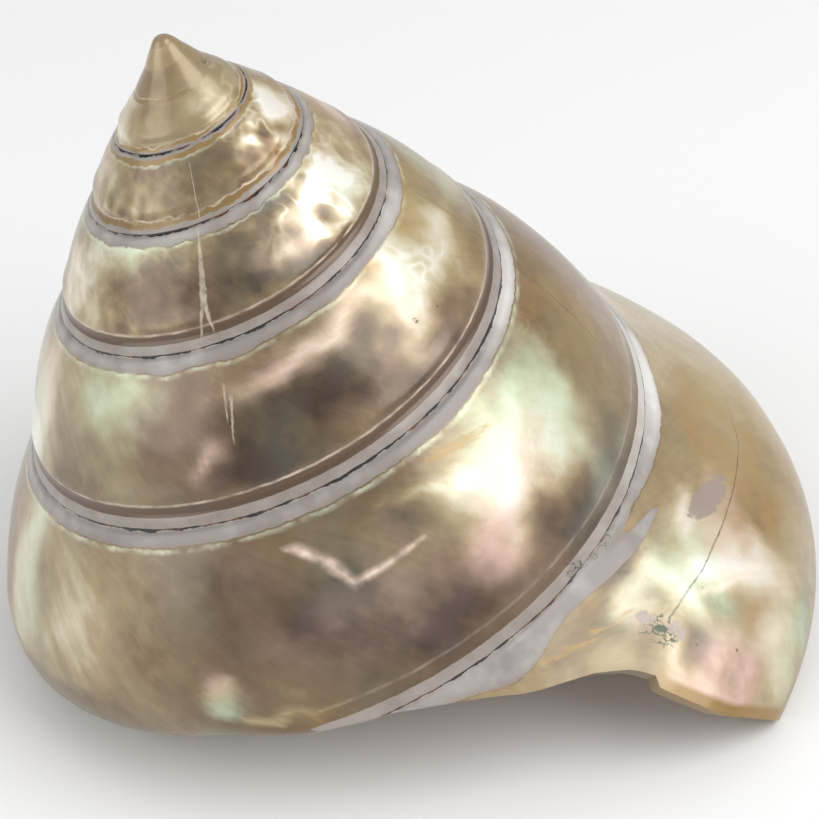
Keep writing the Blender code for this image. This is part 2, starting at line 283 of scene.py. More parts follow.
# Soft patches of the pearl, each with its age in turns, its place across the whorl, its half length
# along the whorl and half width across it in millimetres, its turn in degrees, and its strength.
PATCHES = {
    # lighter and darker patches, partly the pearl's own tone and partly painted highlights and painted
    # dark reflections of the studio
    "light": (
        # the worn tip and the whorl next to it
        (-6.50, 0.50, 3.0, 3.0, 0, 0.2),
        (-5.72, 0.60, 2.5, 2.0, 0, -0.1),
        (-4.85, 0.50, 2.0, 5.0, 0, 0.2),
        (-4.56, 0.40, 3.0, 6.0, 0, 0.45),
        # the first whorl with white strips
        (-3.985, 0.45, 3.0, 3.5, 0, 0.75),
        (-3.915, 0.50, 1.5, 2.5, 0, -0.1),
        (-3.84, 0.40, 2.6, 4.0, 0, -0.15),
        (-3.76, 0.47, 3.5, 3.0, 0, -0.2),
        (-3.59, 0.52, 1.6, 4.0, 0, 0.15),
        (-3.55, 0.50, 2.4, 6.0, 0, 0.3),
        # the second
        (-2.93, 0.48, 6.5, 4.5, 10, 0.6),
        (-2.86, 0.53, 5.0, 1.8, 15, 0.3),
        (-2.74, 0.46, 6.0, 4.0, 0, -0.2),
        (-2.60, 0.42, 4.5, 5.0, 0, 0.3),
        (-2.64, 0.18, 5.0, 1.5, 0, 0.3),
        (-2.81, 0.39, 2.5, 1.8, 0, -0.25),
        (-2.82, 0.12, 3.0, 1.2, 0, -0.2),
        (-2.81, 0.70, 6.0, 1.8, 0, -0.35),
        (-2.56, 0.60, 3.4, 8.0, 0, 0.4),
        # the third
        (-1.91, 0.36, 6.0, 5.0, 30, 0.75),
        (-1.97, 0.38, 3.5, 5.5, 0, 0.45),
        (-1.81, 0.26, 8.5, 1.3, 12, 0.5),
        (-1.64, 0.26, 6.0, 4.0, 0, 0.3),
        (-1.79, 0.60, 14.0, 4.5, 0, -0.38),
        (-1.74, 0.80, 8.0, 2.0, 0, -0.15),
        (-1.84, 0.44, 5.0, 3.0, 0, -0.22),
        (-1.722, 0.66, 2.0, 1.7, 0, 0.35),
        (-1.89, 0.84, 7.0, 3.0, 0, -0.3),
        (-1.560, 0.46, 5.0, 10.0, 0, 0.55),
        # the whorl before the last
        (-0.895, 0.31, 7.5, 6.0, 20, 0.5),
        (-0.928, 0.60, 5.0, 7.5, 0, 0.55),
        (-0.925, 0.84, 7.0, 4.0, 0, -0.78),
        (-0.875, 0.40, 5.0, 3.5, 0, 0.25),
        (-0.872, 0.60, 6.0, 3.0, 20, 0.5),
        (-0.837, 0.26, 4.5, 1.0, -15, 0.3),
        (-0.83, 0.76, 9.0, 4.5, 0, -0.38),
        (-0.79, 0.65, 6.0, 5.0, 0, -0.15),
        (-0.777, 0.44, 5.0, 3.0, 0, -0.3),
        (-0.726, 0.867, 7.0, 0.8, -5, 0.3),
        (-0.72, 0.35, 14.0, 8.0, 0, -0.15),
        (-0.716, 0.73, 2.6, 1.6, 0, 0.35),
        (-0.64, 0.33, 9.0, 10.0, 0, 0.28),
        (-0.617, 0.57, 5.0, 6.0, 0, 0.25),
        (-0.572, 0.36, 6.0, 14.0, 0, 0.6),
        # the last
        (-0.06, 0.30, 14.0, 12.0, 0, 0.15),
        (0.024, 0.53, 5.0, 2.6, 0, -0.35),
        (0.036, 0.84, 6.0, 3.0, 0, -0.2),
        (0.046, 0.50, 4.0, 3.5, 0, 0.45),
        (0.047, 0.235, 2.2, 1.2, 0, 0.3),
        (0.060, 0.66, 9.0, 6.0, 0, 0.28),
        (0.066, 0.36, 7.0, 6.0, 30, 0.3),
        (0.072, 0.565, 4.5, 1.4, -34, -0.3),
        (0.087, 0.10, 4.5, 1.3, 0, -0.45),
        (0.090, 0.19, 3.5, 2.5, 0, 0.3),
        (0.094, 0.70, 5.0, 1.8, 0, -0.25),
        (0.098, 0.50, 4.0, 3.0, 0, -0.2),
        (0.119, 0.17, 6.0, 1.8, 10, -0.4),
    ),
    "pink": (
        (-2.86, 0.53, 5.0, 2.5, 15, 0.7),
        (-1.81, 0.26, 8.0, 1.6, 12, 1.0),
        (-1.90, 0.52, 4.0, 3.5, 0, 0.45),
        (-1.722, 0.66, 2.0, 1.7, 0, 0.6),
        (-1.57, 0.40, 2.2, 5.0, 20, 0.6),
        (-0.885, 0.45, 6.0, 3.5, 20, 0.9),
        (-0.858, 0.63, 4.0, 2.5, 20, 0.9),
        (-0.80, 0.50, 9.0, 6.0, 0, 0.4),
        (-0.716, 0.70, 2.2, 1.2, 0, 0.8),
        (0.046, 0.42, 5.0, 1.2, -35, 0.8),
        (0.090, 0.66, 7.0, 3.0, 0, 0.8),
        (0.03, 0.36, 3.5, 1.8, 0, 0.6),
        (0.100, 0.26, 5.0, 2.2, 20, 0.7),
        (0.047, 0.235, 2.4, 1.5, 0, 0.8),
        (0.105, 0.62, 8.0, 4.5, 0, 0.7),
    ),
    "green": (
        (-2.64, 0.18, 5.0, 1.6, 0, 0.8),
        (-2.95, 0.60, 4.0, 3.0, 0, 0.35),
        (-1.65, 0.26, 6.0, 4.0, 0, 0.9),
        (-1.93, 0.30, 4.0, 4.0, 0, 0.3),
        (-0.93, 0.45, 4.0, 9.0, 0, 0.9),
        (-0.90, 0.25, 8.0, 3.0, 10, 0.8),
        (-0.93, 0.88, 9.0, 3.0, 0, 0.3),
        (-0.575, 0.30, 4.0, 10.0, 10, 0.6),
        (-0.716, 0.78, 2.2, 1.0, 0, 0.8),
        (0.075, 0.42, 4.5, 4.0, 30, 0.9),
        (0.052, 0.84, 9.0, 4.0, 0, 0.8),
        (0.080, 0.24, 7.0, 3.0, 0, 0.9),
    ),
    "gold": (
        (-5.0, 0.9, 6.0, 1.0, 0, 0.5),
        (-3.9, 0.72, 5.0, 1.6, 0, 0.5),
        (-1.985, 0.15, 9.0, 3.0, 0, 0.8),
        (-1.0, 0.45, 11.0, 12.0, 0, 0.75),
        (-2.02, 0.60, 9.0, 9.0, 0, 0.6),
        (-3.05, 0.50, 6.0, 6.0, 0, 0.5),
        (-4.05, 0.50, 4.0, 4.0, 0, 0.4),
        (-1.953, 0.14, 3.0, 2.0, 0, 0.9),
        (-1.90, 0.10, 4.0, 1.5, 0, 0.7),
        (0.020, 0.50, 8.0, 5.0, 0, 0.9),
        (-0.04, 0.45, 20.0, 14.0, 0, 0.8),
        (-0.02, 0.25, 8.0, 5.0, 0, 0.5),
        (-0.76, 0.917, 2.5, 0.8, 0, 0.9),
        (0.072, 0.565, 4.5, 1.4, -34, 0.9),
        (0.094, 0.71, 6.0, 1.8, 0, 0.9),
        (0.124, 0.17, 4.5, 1.2, 20, 0.8),
    ),
    # how far the white strip below a seam reaches beyond its usual edge, in millimetres
    "strip": (
        (-1.70, 0.08, 2.4, 9.0, 0, 0.5),
        (-1.765, 0.08, 2.4, 9.0, 0, 0.45),
        (-1.86, 0.08, 2.0, 9.0, 0, 0.35),
        (-1.97, 0.08, 5.0, 9.0, 0, 0.5),
        (-0.88, 0.06, 4.0, 9.0, 0, 0.35),
        (0.005, 0.06, 7.0, 9.0, 0, 0.55),
        (0.066, 0.045, 4.0, 1.6, 0, -0.6),
        (0.080, 0.106, 8.0, 0.8, -9, 4.5),
        (0.158, 0.09, 5.5, 9.0, 0, 1.9),
    ),
    # where the pearl is hammered, where its growth lines show most, and where it is pitted
    "hammered": (
        (-4.93, 0.60, 3.0, 4.0, 0, 0.5),
        (-3.92, 0.45, 4.5, 5.0, 0, 0.9),
        (-3.62, 0.75, 4.0, 2.0, 0, 0.5),
        (-2.90, 0.42, 7.0, 6.0, 0, 1.0),
        (-2.72, 0.20, 7.0, 1.5, 0, 0.3),
        (-1.93, 0.30, 4.0, 4.0, 0, 0.4),
        (-0.97, 0.20, 4.0, 4.0, 0, 0.3),
    ),
    "streaky": (
        (-0.62, 0.45, 9.0, 14.0, 0, 0.8),
        (-1.60, 0.40, 6.0, 12.0, 0, 0.5),
        (-0.80, 0.45, 12.0, 10.0, 0, 0.4),
    ),
    "pitted": (
        (-5.00, 0.95, 3.0, 1.2, 0, 1.0),
        (-5.95, 0.75, 2.0, 1.0, 0, 1.0),
        (-3.69, 0.80, 1.5, 1.0, 0, 0.8),
        (-1.93, 0.60, 2.5, 2.0, 0, 0.9),
        (-0.941, 0.52, 3.0, 2.0, 0, 1.0),
        (0.085, 0.50, 7.0, 5.0, 0, 0.9),
    ),
    # painted light and shade on the chalky strips
    "chalk": (
        (-0.985, 0.05, 9.0, 9.0, 0, 0.75),
        (-0.015, 0.05, 9.0, 9.0, 0, 0.95),
        (-1.015, 0.95, 18.0, 9.0, 0, 0.9),
        (-1.955, 0.05, 5.0, 9.0, 0, 0.4),
        (-0.87, 0.05, 9.0, 9.0, 0, -0.4),
        (-0.70, 0.05, 14.0, 9.0, 0, -0.2),
        (-1.87, 0.05, 6.0, 9.0, 0, -0.3),
        (-1.77, 0.05, 5.0, 9.0, 0, -0.25),
        (0.105, 0.05, 9.0, 9.0, 0, -0.15),
    ),
    # a flake broken out, in the last whorl, and the dull spots beside the stained hole
    "flake": (
        (0.033, 0.315, 5.4, 1.7, -21, 1.0),
        (0.1075, 0.275, 1.5, 1.1, 0, 1.0),
        (0.1040, 0.385, 1.5, 1.4, 0, 1.0),
    ),
    "stain": (
        (0.1095, 0.335, 2.6, 2.4, 0, 0.75),
        (0.1090, 0.333, 0.6, 0.6, 0, 0.6),
        (-1.8973, 0.542, 0.5, 0.5, 0, 0.6),
        (-0.888, 0.975, 1.1, 0.8, 0, 0.9),
        (0.092, 0.018, 2.2, 0.5, 0, 0.9),
        (-6.0, 0.75, 0.5, 0.4, 0, 0.9),
    ),
    # dents and swellings, in millimetres
    "swell": (
        (-1.722, 0.66, 2.6, 2.2, 0, 0.14),
        (-1.89, 0.40, 5.0, 4.0, 0, 0.2),
        (-1.93, 0.65, 4.0, 3.0, 0, -0.12),
        (-0.90, 0.30, 6.0, 4.0, 20, 0.25),
        (-0.875, 0.24, 4.0, 0.8, -15, -0.12),
        (-0.862, 0.60, 4.0, 2.0, 20, 0.16),
        (-0.85, 0.70, 6.0, 2.0, 10, -0.14),
        (0.046, 0.48, 6.0, 4.0, 0, 0.2),
        (0.024, 0.62, 5.0, 3.0, 0, -0.15),
        (0.040, 0.33, 4.0, 1.2, -20, -0.12),
        (0.105, 0.34, 1.6, 1.6, 0, -0.3),
    ),
}

# Lines across the pearl: the age, place and half width in millimetres of each of their points.
HAIRLINES = {
    "crack": (
        ((-2.001, 0.20, 0.04), (-2.002, 0.40, 0.06), (-2.008, 0.90, 0.04)),
        ((-1.008, 0.06, 0.05), (-0.999, 0.34, 0.07), (-0.996, 0.62, 0.05), (-0.988, 0.92, 0.04)),
        ((-0.035, 0.450, 0.03), (-0.010, 0.450, 0.06), (0.015, 0.417, 0.07), (0.035, 0.392, 0.10),
         (0.053, 0.375, 0.11), (0.069, 0.367, 0.09), (0.082, 0.350, 0.13), (0.102, 0.342, 0.13)),
    ),
    "scratch": (
        ((-3.764, 0.20, 0.03), (-3.760, 0.95, 0.06)),
        ((-2.754, 0.05, 0.08), (-2.749, 0.40, 0.30), (-2.746, 0.62, 0.34), (-2.7485, 0.90, 0.10)),
        ((-1.7525, 0.30, 0.20), (-1.7475, 0.56, 0.08)),
    ),
    "prong": (
        ((-2.745, 0.50, 0.16), (-2.742, 0.70, 0.20), (-2.736, 0.92, 0.12)),
        ((-1.7485, 0.24, 0.14), (-1.7465, 0.44, 0.08)),
    ),
    "crease": (
        ((-0.764, 0.170, 1.1), (-0.780, 0.275, 1.0), (-0.791, 0.420, 0.6)),
        ((0.045, 0.567, 0.35), (0.077, 0.408, 0.6), (0.088, 0.345, 0.35)),
    ),
    "ray": (
        ((-0.8453, 0.158, 0.25), (-0.8827, 0.242, 0.45)),
        ((-0.8567, 0.133, 0.2), (-0.8940, 0.225, 0.4)),
        ((0.1287, 0.100, 0.35), (0.1053, 0.233, 0.15)),
        ((0.1367, 0.150, 0.35), (0.1220, 0.208, 0.15)),
    ),
    "upper_ray": (
        ((-0.8500, 0.142, 0.2), (-0.8887, 0.233, 0.4)),
        ((0.1307, 0.125, 0.35), (0.1120, 0.233, 0.15)),
        ((0.1487, 0.125, 0.4), (0.1340, 0.175, 0.15)),
    ),
    "branch": (
        ((-0.789, 0.415, 0.5), (-0.807, 0.410, 0.45), (-0.830, 0.395, 0.25)),
    ),
}
HAIRLINE_REACH_MM = 3.0  # how far from a line its distance is kept
HAIRLINE_FADES_MM = (0.75, 1.5)  # how far from a line its mark dies away
HAIRLINE_END_FADES_MM = (-0.5, 0.3)
SHARP_FIELDS = ("strip", "flake", "stain", "chalk")  # patches that keep their own outline

# The back and the base, which the photograph doesn't show, have patches like the others, placed by
# chance: the first and last age, the first and last place, and how many of each kind.
UNSEEN_SEED = 7
UNSEEN = (
    (-4.55, -4.03, 0.1, 0.9, 6),
    (-3.54, -3.04, 0.1, 0.9, 8),
    (-2.53, -2.04, 0.1, 0.9, 9),
    (-1.53, -1.05, 0.1, 0.9, 10),
    (-0.53, -0.14, 0.1, 0.9, 10),
    (-0.75, 0.05, 1.8, 2.9, 20),
)
UNSEEN_STRENGTHS = {
    "light": (-0.4, 0.6),
    "pink": (0.3, 0.9),
    "green": (0.3, 0.9),
    "gold": (0.3, 0.9),
}
UNSEEN_LENGTHS, UNSEEN_WIDTHS = (0.15, 0.4), (0.08, 0.25)  # as shares of the side's width
UNSEEN_TURNS = (-30, 30)

# The patches and lines that colour the pearl, and those that lie over it.
PEARL_FIELDS = ("light", "pink", "green", "gold", "hammered", "streaky")
MARK_FIELDS = ["strip", "chalk", "flake", "stain", "pitted"]
MARK_FIELDS += [name + end for name in HAIRLINES for end in ("", "_near")]


def smooth(value, start, end):
    """0 up to start, 1 from end on, and an even S between them."""
    share = np.clip((value - start) / (end - start), 0, 1)
    return share * share * (3 - 2 * share)


def blend(first, second, share):
    """The value at this share of the way from the first to the second."""
    return first + (second - first) * share


def spiral(age):
    """(radius, height) of the suture and keel line."""
    growth = sum(rate * age ** (power + 1) for power, rate in enumerate(WIDEN))
    drop = SUTURE_DROP * np.exp(growth * (STEEPEN[0] + STEEPEN[1] * growth))
    flare = 1 + FLARE * smooth(age, *FLARE_AGES)
    return SUTURE_RADIUS * flare * np.exp(growth), -drop - TIP_DROP


def lean(across):
    """How far ahead of the keel a growth line is, at this share of the way from suture to keel."""
    left = 1 - across
    return LEAN_EVEN * left + LEAN_TOP * left**LEAN_TOP_POWER


def side_width(age):
    """Width of the whorl's side below the suture of this age."""
    (top_radius, top_height), (low_radius, low_height) = spiral(age), spiral(age + 1)
    return np.hypot(low_radius - top_radius, low_height - top_height)


def on_side(keel_age, across):
    """Radius, height and age on the side of a whorl, on the growth line with this age at the keel."""
    age = keel_age - 1 + lean(across)
    (top_radius, top_height), (low_radius, low_height) = spiral(age), spiral(age + 1)
    wide, high = low_radius - top_radius, low_height - top_height
    bow = blend(BOW_YOUNG, BOW_MIDDLE, smooth(age, *BOW_MIDDLE_AGES))
    bow = blend(bow, BOW_LAST, smooth(age, *BOW_LAST_AGES))
    fullest = blend(FULLEST_YOUNG, FULLEST_LAST, smooth(age, *BOW_LAST_AGES))
    out = bow * np.sin(math.pi * across**fullest)
    return np.stack(
        [top_radius + wide * across - high * out, top_height + high * across + wide * out, age], -1
    )


def on_base(keel_age, inward):
    """Radius, height and age on the base, at this share of the way from the keel to the pillar."""
    radius, height = spiral(keel_age)
    bow = blend(BASE_BOW, BASE_BOW_LIP, smooth(keel_age, *BASE_BOW_AGES))
    rise = BASE_RISE * inward**2 - bow * np.sin(math.pi * inward)
    return np.stack(
        [
            radius * blend(1, PILLAR, inward),
            height + rise * radius,
            keel_age - 1 + LEAN_ON_BASE * inward,
        ],
        -1,
    )


def keel_rounding(keel_age):
    """How far the rounding reaches up the side and in along the base, as shares of those."""
    share = smooth(keel_age, *KEEL_ROUND_GROWS)
    sharper = smooth(keel_age, *KEEL_SHARPENS)
    up = blend(KEEL_ROUND_UP, KEEL_ROUND_LIP, sharper) * share
    inward = np.maximum(blend(KEEL_ROUND_IN, KEEL_ROUND_LIP, sharper) * share, KEEL_ROUND_IN_LEAST)
    return up * spiral(keel_age)[0] / side_width(keel_age - 1), inward / (1 - PILLAR)


def side_shares():
    """Shares of the side's width where it has points, closer together near the sutures."""
    even = np.linspace(0, 1, SIDE_STEPS + 1)
    return even - SIDE_CROWDING * np.sin(2 * math.pi * even) / (2 * math.pi)


def growth_lines(keel_ages):
    """Every growth line's points, and each point's place from the suture to the pillar."""
    ages = keel_ages[:, None]
    up, inward = keel_rounding(ages)
    across = side_shares() * (1 - up)
    side = on_side(ages, across)
    radius, height = spiral(ages)
    corner = np.stack([radius, height, ages - 1], -1)
    base_start = on_base(ages, inward)
    share = np.linspace(0, 1, KEEL_STEPS + 1)[None, 1:, None]
    above = blend(side[:, -1:], corner, share)
    keel = blend(above, blend(corner, base_start, share), share)
    along = blend(inward, 1, np.linspace(0, 1, BASE_STEPS + 1)[None, 1:])
    points = np.concatenate([side, keel, on_base(ages, along)], 1)
    keel_place = np.broadcast_to(KEEL + share[..., 0], keel.shape[:2])
    place = np.concatenate([across, keel_place, BASE + along], 1)
    return points, place


def outward(points):
    """The direction out of the surface in each growth line's plane, as radius and height."""
    along = np.gradient(points[..., :2], axis=1)
    out = np.stack([-along[..., 1], along[..., 0]], -1)
    return out / np.maximum(np.linalg.norm(out, axis=-1, keepdims=True), 1e-12)


def turned(points, set_back=0.0):
    """Radius, height and age as x, y and z in the shell's own frame."""
    angle = -2 * math.pi * (points[..., 2] - set_back)
    radius = points[..., 0]
    return np.stack([radius * np.cos(angle), radius * np.sin(angle), points[..., 1]], -1)


def chip(behind_lip, across):
    """How far the lip is broken back, in turns, this many turns behind it."""
    places, depths = zip(*CHIP)
    return np.interp(across, places, depths) * np.clip(1 - behind_lip / CHIP_AGES, 0, 1)


def from_sutures(growth_age, place):
    """Millimetres below the upper suture and above the lower one, scaled as the bands are."""
    age = growth_age + lean(np.clip(place, 0, 1))
    width = side_width(age) / band_scale(age) / MM
    below = np.where(place <= KEEL, place * width, FAR_MM)
    above = np.where((place <= KEEL) & (age + 1 < STRIP_END_AGE), (1 - place) * width, FAR_MM)
    on_free_keel = (place > KEEL) & (place < KEEL_STRIP_PLACE) & (age + 1 < STRIP_END_AGE)
    above = np.where(on_free_keel & (age + 1 > OPEN_AGE - KEEL_STRIP_LAP), MIDDLE_OF_STRIP_MM, above)
    return np.stack([below, above], -1)


def surface_noise(points, size_mm, seed):
    """Smooth noise from -1 to 1 at each point, with lumps of about this size."""
    flat = turned(points).reshape(-1, 3) / (size_mm * MM)
    values = [noise.noise((x + seed, y, z)) for x, y, z in flat.tolist()]
    return np.array(values).reshape(points.shape[:-1])


def patch_field(points, place, patches):
    """The sum at each point of soft patches, which die away from the middle of each."""
    age, radius = points[..., 2], points[..., 0]
    field = np.zeros_like(age)
    for at_age, at_place, length, width, turn, strength in patches:
        near = np.abs(age - at_age) < PATCH_REACH
        along = (age[near] - at_age) * 2 * math.pi * radius[near] / MM
        across = (place[near] - at_place) * side_width(at_age) / MM
        cosine, sine = math.cos(math.radians(turn)), math.sin(math.radians(turn))
        first = (along * cosine + across * sine) / length
        second = (across * cosine - along * sine) / width
        field[near] += strength * np.exp(-(first**2) - second**2)
    return field


def unseen_patches(name):
    """Patches of one kind round the back and on the base, the same on each run."""
    chance = random.Random(f"{name} {UNSEEN_SEED}")
    low, high = UNSEEN_STRENGTHS[name]
    patches = []
    for first_age, last_age, first_place, last_place, count in UNSEEN:
        size = side_width(last_age) / MM
        for _ in range(count):
            age = chance.uniform(first_age, last_age)
            at_place = chance.uniform(first_place, last_place)
            length = size * chance.uniform(*UNSEEN_LENGTHS)
            width = size * chance.uniform(*UNSEEN_WIDTHS)
            turned_by = chance.uniform(*UNSEEN_TURNS)
            strength = chance.uniform(low, high)
            patches.append((age, at_place, length, width, turned_by, strength))
    return patches


def line_field(points, place, lines):
    """Distance across the nearest line, with its sign, as a share of its half width, and 1 where
    a line is near and 0 where none is."""
    age, around = points[..., 2], 2 * math.pi * points[..., 0] / MM
    offset = np.full_like(age, FAR_MM)
    present = np.zeros_like(age)
    for line in lines:
        ages, places, half_widths = np.array(line).T
        width = side_width(ages[0]) / MM
        length_along = np.ptp(ages) * 2 * math.pi * spiral(ages[0])[0] / MM
        lengthwise = length_along > np.ptp(places) * width
        own, own_places = (age, ages) if lengthwise else (place, places)
        other, other_places = (place, places) if lengthwise else (age, ages)
        own_mm, other_mm = (around, width) if lengthwise else (width, around)
        order = np.argsort(own_places)
        aside = (other - np.interp(own, own_places[order], other_places[order])) * other_mm
        past_end = np.maximum(own_places.min() - own, own - own_places.max()) * own_mm
        near = (np.abs(aside) < HAIRLINE_REACH_MM) & (past_end < HAIRLINE_REACH_MM)
        near &= np.abs(age - ages.mean()) < PATCH_REACH
        half_width = np.interp(own, own_places[order], half_widths[order])
        offset[near] = (aside / half_width)[near]
        kept = 1 - smooth(np.abs(aside), *HAIRLINE_FADES_MM)
        present[near] = (kept * (1 - smooth(past_end, *HAIRLINE_END_FADES_MM)))[near]
    return offset, present


def warped(points, place):
    """The points and places moved about a little, so that the patches get uneven edges."""
    along = across = 0
    for size_mm, by_mm in WARPS:
        along = along + by_mm * MM * surface_noise(points, size_mm, WARP_SEEDS[0])
        across = across + by_mm * MM * surface_noise(points, size_mm, WARP_SEEDS[1])
    moved = points.copy()
    moved[..., 2] += along / (2 * math.pi * np.maximum(points[..., 0], MM))
    return moved, place + across / side_width(points[..., 2])


class Loft:
    """A mesh in the making: its points, and faces whose corners know their place on the shell."""

    def __init__(self, fields):
        self.points = []
        self.faces = []
        self.corners = []
        self.fields = {name: [] for name in fields}

    def add(self, points, fields=None):
        """Indices of new points, in the same rows, with each field's value at them or 0."""
        points = np.asarray(points, float)
        first = len(self.points)
        self.points.extend(points.reshape(-1, 3).tolist())
        count = points[..., 0].size
        for name, values in self.fields.items():
            values.extend(fields[name].ravel().tolist() if fields else [0.0] * count)
        return (first + np.arange(count)).reshape(points.shape[:-1])

    def strip(self, first, second, first_corners, second_corners):
        """Quads between two rows, or triangles where the rows share a point."""
        for step in range(len(first) - 1):
            face = (first[step], second[step], second[step + 1], first[step + 1])
            corners = (
                first_corners[step],
                second_corners[step],
                second_corners[step + 1],
                first_corners[step + 1],
            )
            kept = [n for n in range(4) if face[n] != face[n - 1]]
            if len(kept) > 2:
                self.faces.append([int(face[n]) for n in kept])
                self.corners.append([corners[n] for n in kept])

    def polygon(self, face, corners):
        """One face with any number of corners."""
        self.faces.append([int(point) for point in face])
        self.corners.append(list(corners))

    def make(self, name, turn):
        """The object, with its corners' places in three maps, and each field at its points."""
        mesh = bpy.data.meshes.new(name)
        mesh.from_pydata(self.points, [], self.faces)
        growth = np.array([corner for face in self.corners for corner in face])
        age = growth[:, 0] + lean(np.clip(growth[:, 1], 0, 1))
        maps = {
            "growth": growth,
            "bands": from_sutures(*growth.T),
            "turns": np.stack([age, growth[:, 1]], -1),
        }
        for map_name, places in maps.items():
            made = mesh.uv_layers.new(name=map_name)
            made.uv.foreach_set("vector", places.astype(np.float32).ravel())
        for field, values in self.fields.items():
            attribute = mesh.attributes.new(field, "FLOAT", "POINT")
            attribute.data.foreach_set("value", np.array(values, np.float32))
        mesh.transform(turn)
        shaped = bmesh.new()
        shaped.from_mesh(mesh)
        for vertex in shaped.verts:
            vertex.co.z = max(vertex.co.z, 0.0)
        bmesh.ops.recalc_face_normals(shaped, faces=shaped.faces)
        shaped.to_mesh(mesh)
        shaped.free()
        mesh.shade_smooth()
        mesh.set_sharp_from_angle(angle=math.radians(SHARP_DEGREES))
        item = bpy.data.objects.new(name, mesh)
        bpy.context.scene.collection.objects.link(item)
        return item


def ripple_field(points, place):
    """Ripples from about -1 to 1, where the pearl has them."""
    field = np.zeros_like(place)
    for number, (patch, size_mm) in enumerate(RIPPLES):
        where = patch_field(points, place, [patch])
        field += where * surface_noise(points, size_mm, RIPPLE_SEED_STEP * number) * RIPPLE_GAIN
    return field


def finish_fields(points, place):
    """Every patch and line of the finish at each point, by name, and the ripples."""
    moved, moved_place = warped(points, place)
    fields = {}
    for name, patches in PATCHES.items():
        if name in SHARP_FIELDS:
            fields[name] = patch_field(points, place, patches)
        else:
            fields[name] = patch_field(moved, moved_place, patches)
        if name in UNSEEN_STRENGTHS:
            fields[name] += patch_field(moved, moved_place, unseen_patches(name))
    for name, marks in HAIRLINES.items():
        fields[name], fields[name + "_near"] = line_field(points, place, marks)
    rippled = ripple_field(points, place)
    # Painted light on the ripples' crests and painted shade in their hollows.
    fields["light"] += RIPPLE_PAINTED_SHADING * rippled
    return fields, rippled


def relief(points, place, swell, rippled):
    """How far the polished surface stands out of the plain form, in metres, at each point."""
    sizes = bpy.context.scene.shell_sizes
    age = points[..., 2]
    scale = band_scale(age)
    width = side_width(age)
    below = place * width / scale / MM
    above = (1 - place) * width / scale / MM
    on_side = np.where(place <= KEEL, 1.0, 0.0)
    covered = smooth(GROOVE_END_AGE - (age + 1), 0, GROOVE_END_FADE)
    covered *= blend(1, GROOVE_LEFT_ON_LAST, smooth(age + 1, *GROOVE_FADES))
    groove = np.exp(-(((above - GROOVE_FROM_SUTURE_MM) / sizes.groove_width_mm) ** 2))
    rim = np.exp(-(((above - RIM_FROM_SUTURE_MM) / RIM_WIDTH_MM) ** 2))
    step = np.exp(-((below / STEP_WIDTH_MM) ** 2))
    out = sizes.rim_height_mm * rim - sizes.groove_depth_mm * groove
    grown = smooth(age, *BANDS_BEGIN)
    grown_below = smooth(age + 1, *BANDS_BEGIN)
    bands = on_side * scale * (out * covered * grown_below - sizes.step_depth_mm * step * grown)
    clear = smooth(below, *CLEAR_BELOW_MM) * smooth(above, *CLEAR_ABOVE_MM) * on_side
    ripples = RIPPLE_HEIGHT_MM * rippled
    waves = WAVE_HEIGHT_MM * smooth(age, *WAVE_AGES) * surface_noise(points, WAVE_SIZE_MM, WAVE_SEED)
    crease = 0
    for name in ("crease", "branch"):
        offset, present = line_field(points, place, HAIRLINES[name])
        crease = crease + CREASE_HEIGHT_MM * present * np.exp(-(offset**2))
    return MM * (bands + clear * (ripples + waves + crease + swell))


def blunting(radius_mm):
    """How far the worn tip stands above the plain cone, in millimetres, at this radius."""
    dome = DOME_HEIGHT_MM * np.exp(-((radius_mm / DOME_RADIUS_MM) ** 2))
    return dome + TIP_STEEPNESS * (radius_mm - np.hypot(radius_mm, TIP_ROUND_MM))


def band_scale(age):
    """How the bands along the sutures widen with the whorls: 1 on the whorl before the last."""
    return (side_width(age) / BAND_WIDTH_AT) ** BAND_POWER


def wall_thickness(points, behind_lip):
    """The wall's thickness in metres, which tapers towards the lip."""
    taper = blend(WALL_AT_LIP, 1, smooth(behind_lip, 0, LIP_TAPER))
    return WALL * taper * spiral(points[..., 2] + 1)[0]


def shared_rows(loft, raised, set_back, fields):
    """The point numbers along each growth line. Its first is on the whorl before, or the tip."""
    last = LINES_TO_SUTURE + HOLLOW_LINES
    side = slice(1, SIDE_STEPS + 1)
    whole_fields = {name: values[: last + 1, 1:] for name, values in fields.items()}
    young_fields = {name: values[last + 1 :, side] for name, values in fields.items()}
    whole = loft.add(turned(raised, set_back)[: last + 1, 1:], whole_fields)
    young = loft.add(turned(raised)[last + 1 :, side], young_fields)
    tip = loft.add([[0, 0, TIP_HEIGHT]])[0]
    rows = [list(row) for row in whole] + [list(row) for row in young]
    for line, row in enumerate(rows):
        on_older = line + LINES_TO_SUTURE
        row.insert(0, rows[on_older][SIDE_STEPS - 1] if on_older <= LINES else tip)
    return rows


def draw_sides(loft, rows, corners):
    """The sides of all the whorls, and the small end of the first one."""
    side = slice(0, SIDE_STEPS + 1)
    for newer in range(LINES):
        older = newer + 1
        loft.strip(rows[older][side], rows[newer][side], corners[older][side], corners[newer][side])
    loft.polygon(rows[-1], corners[-1][side])


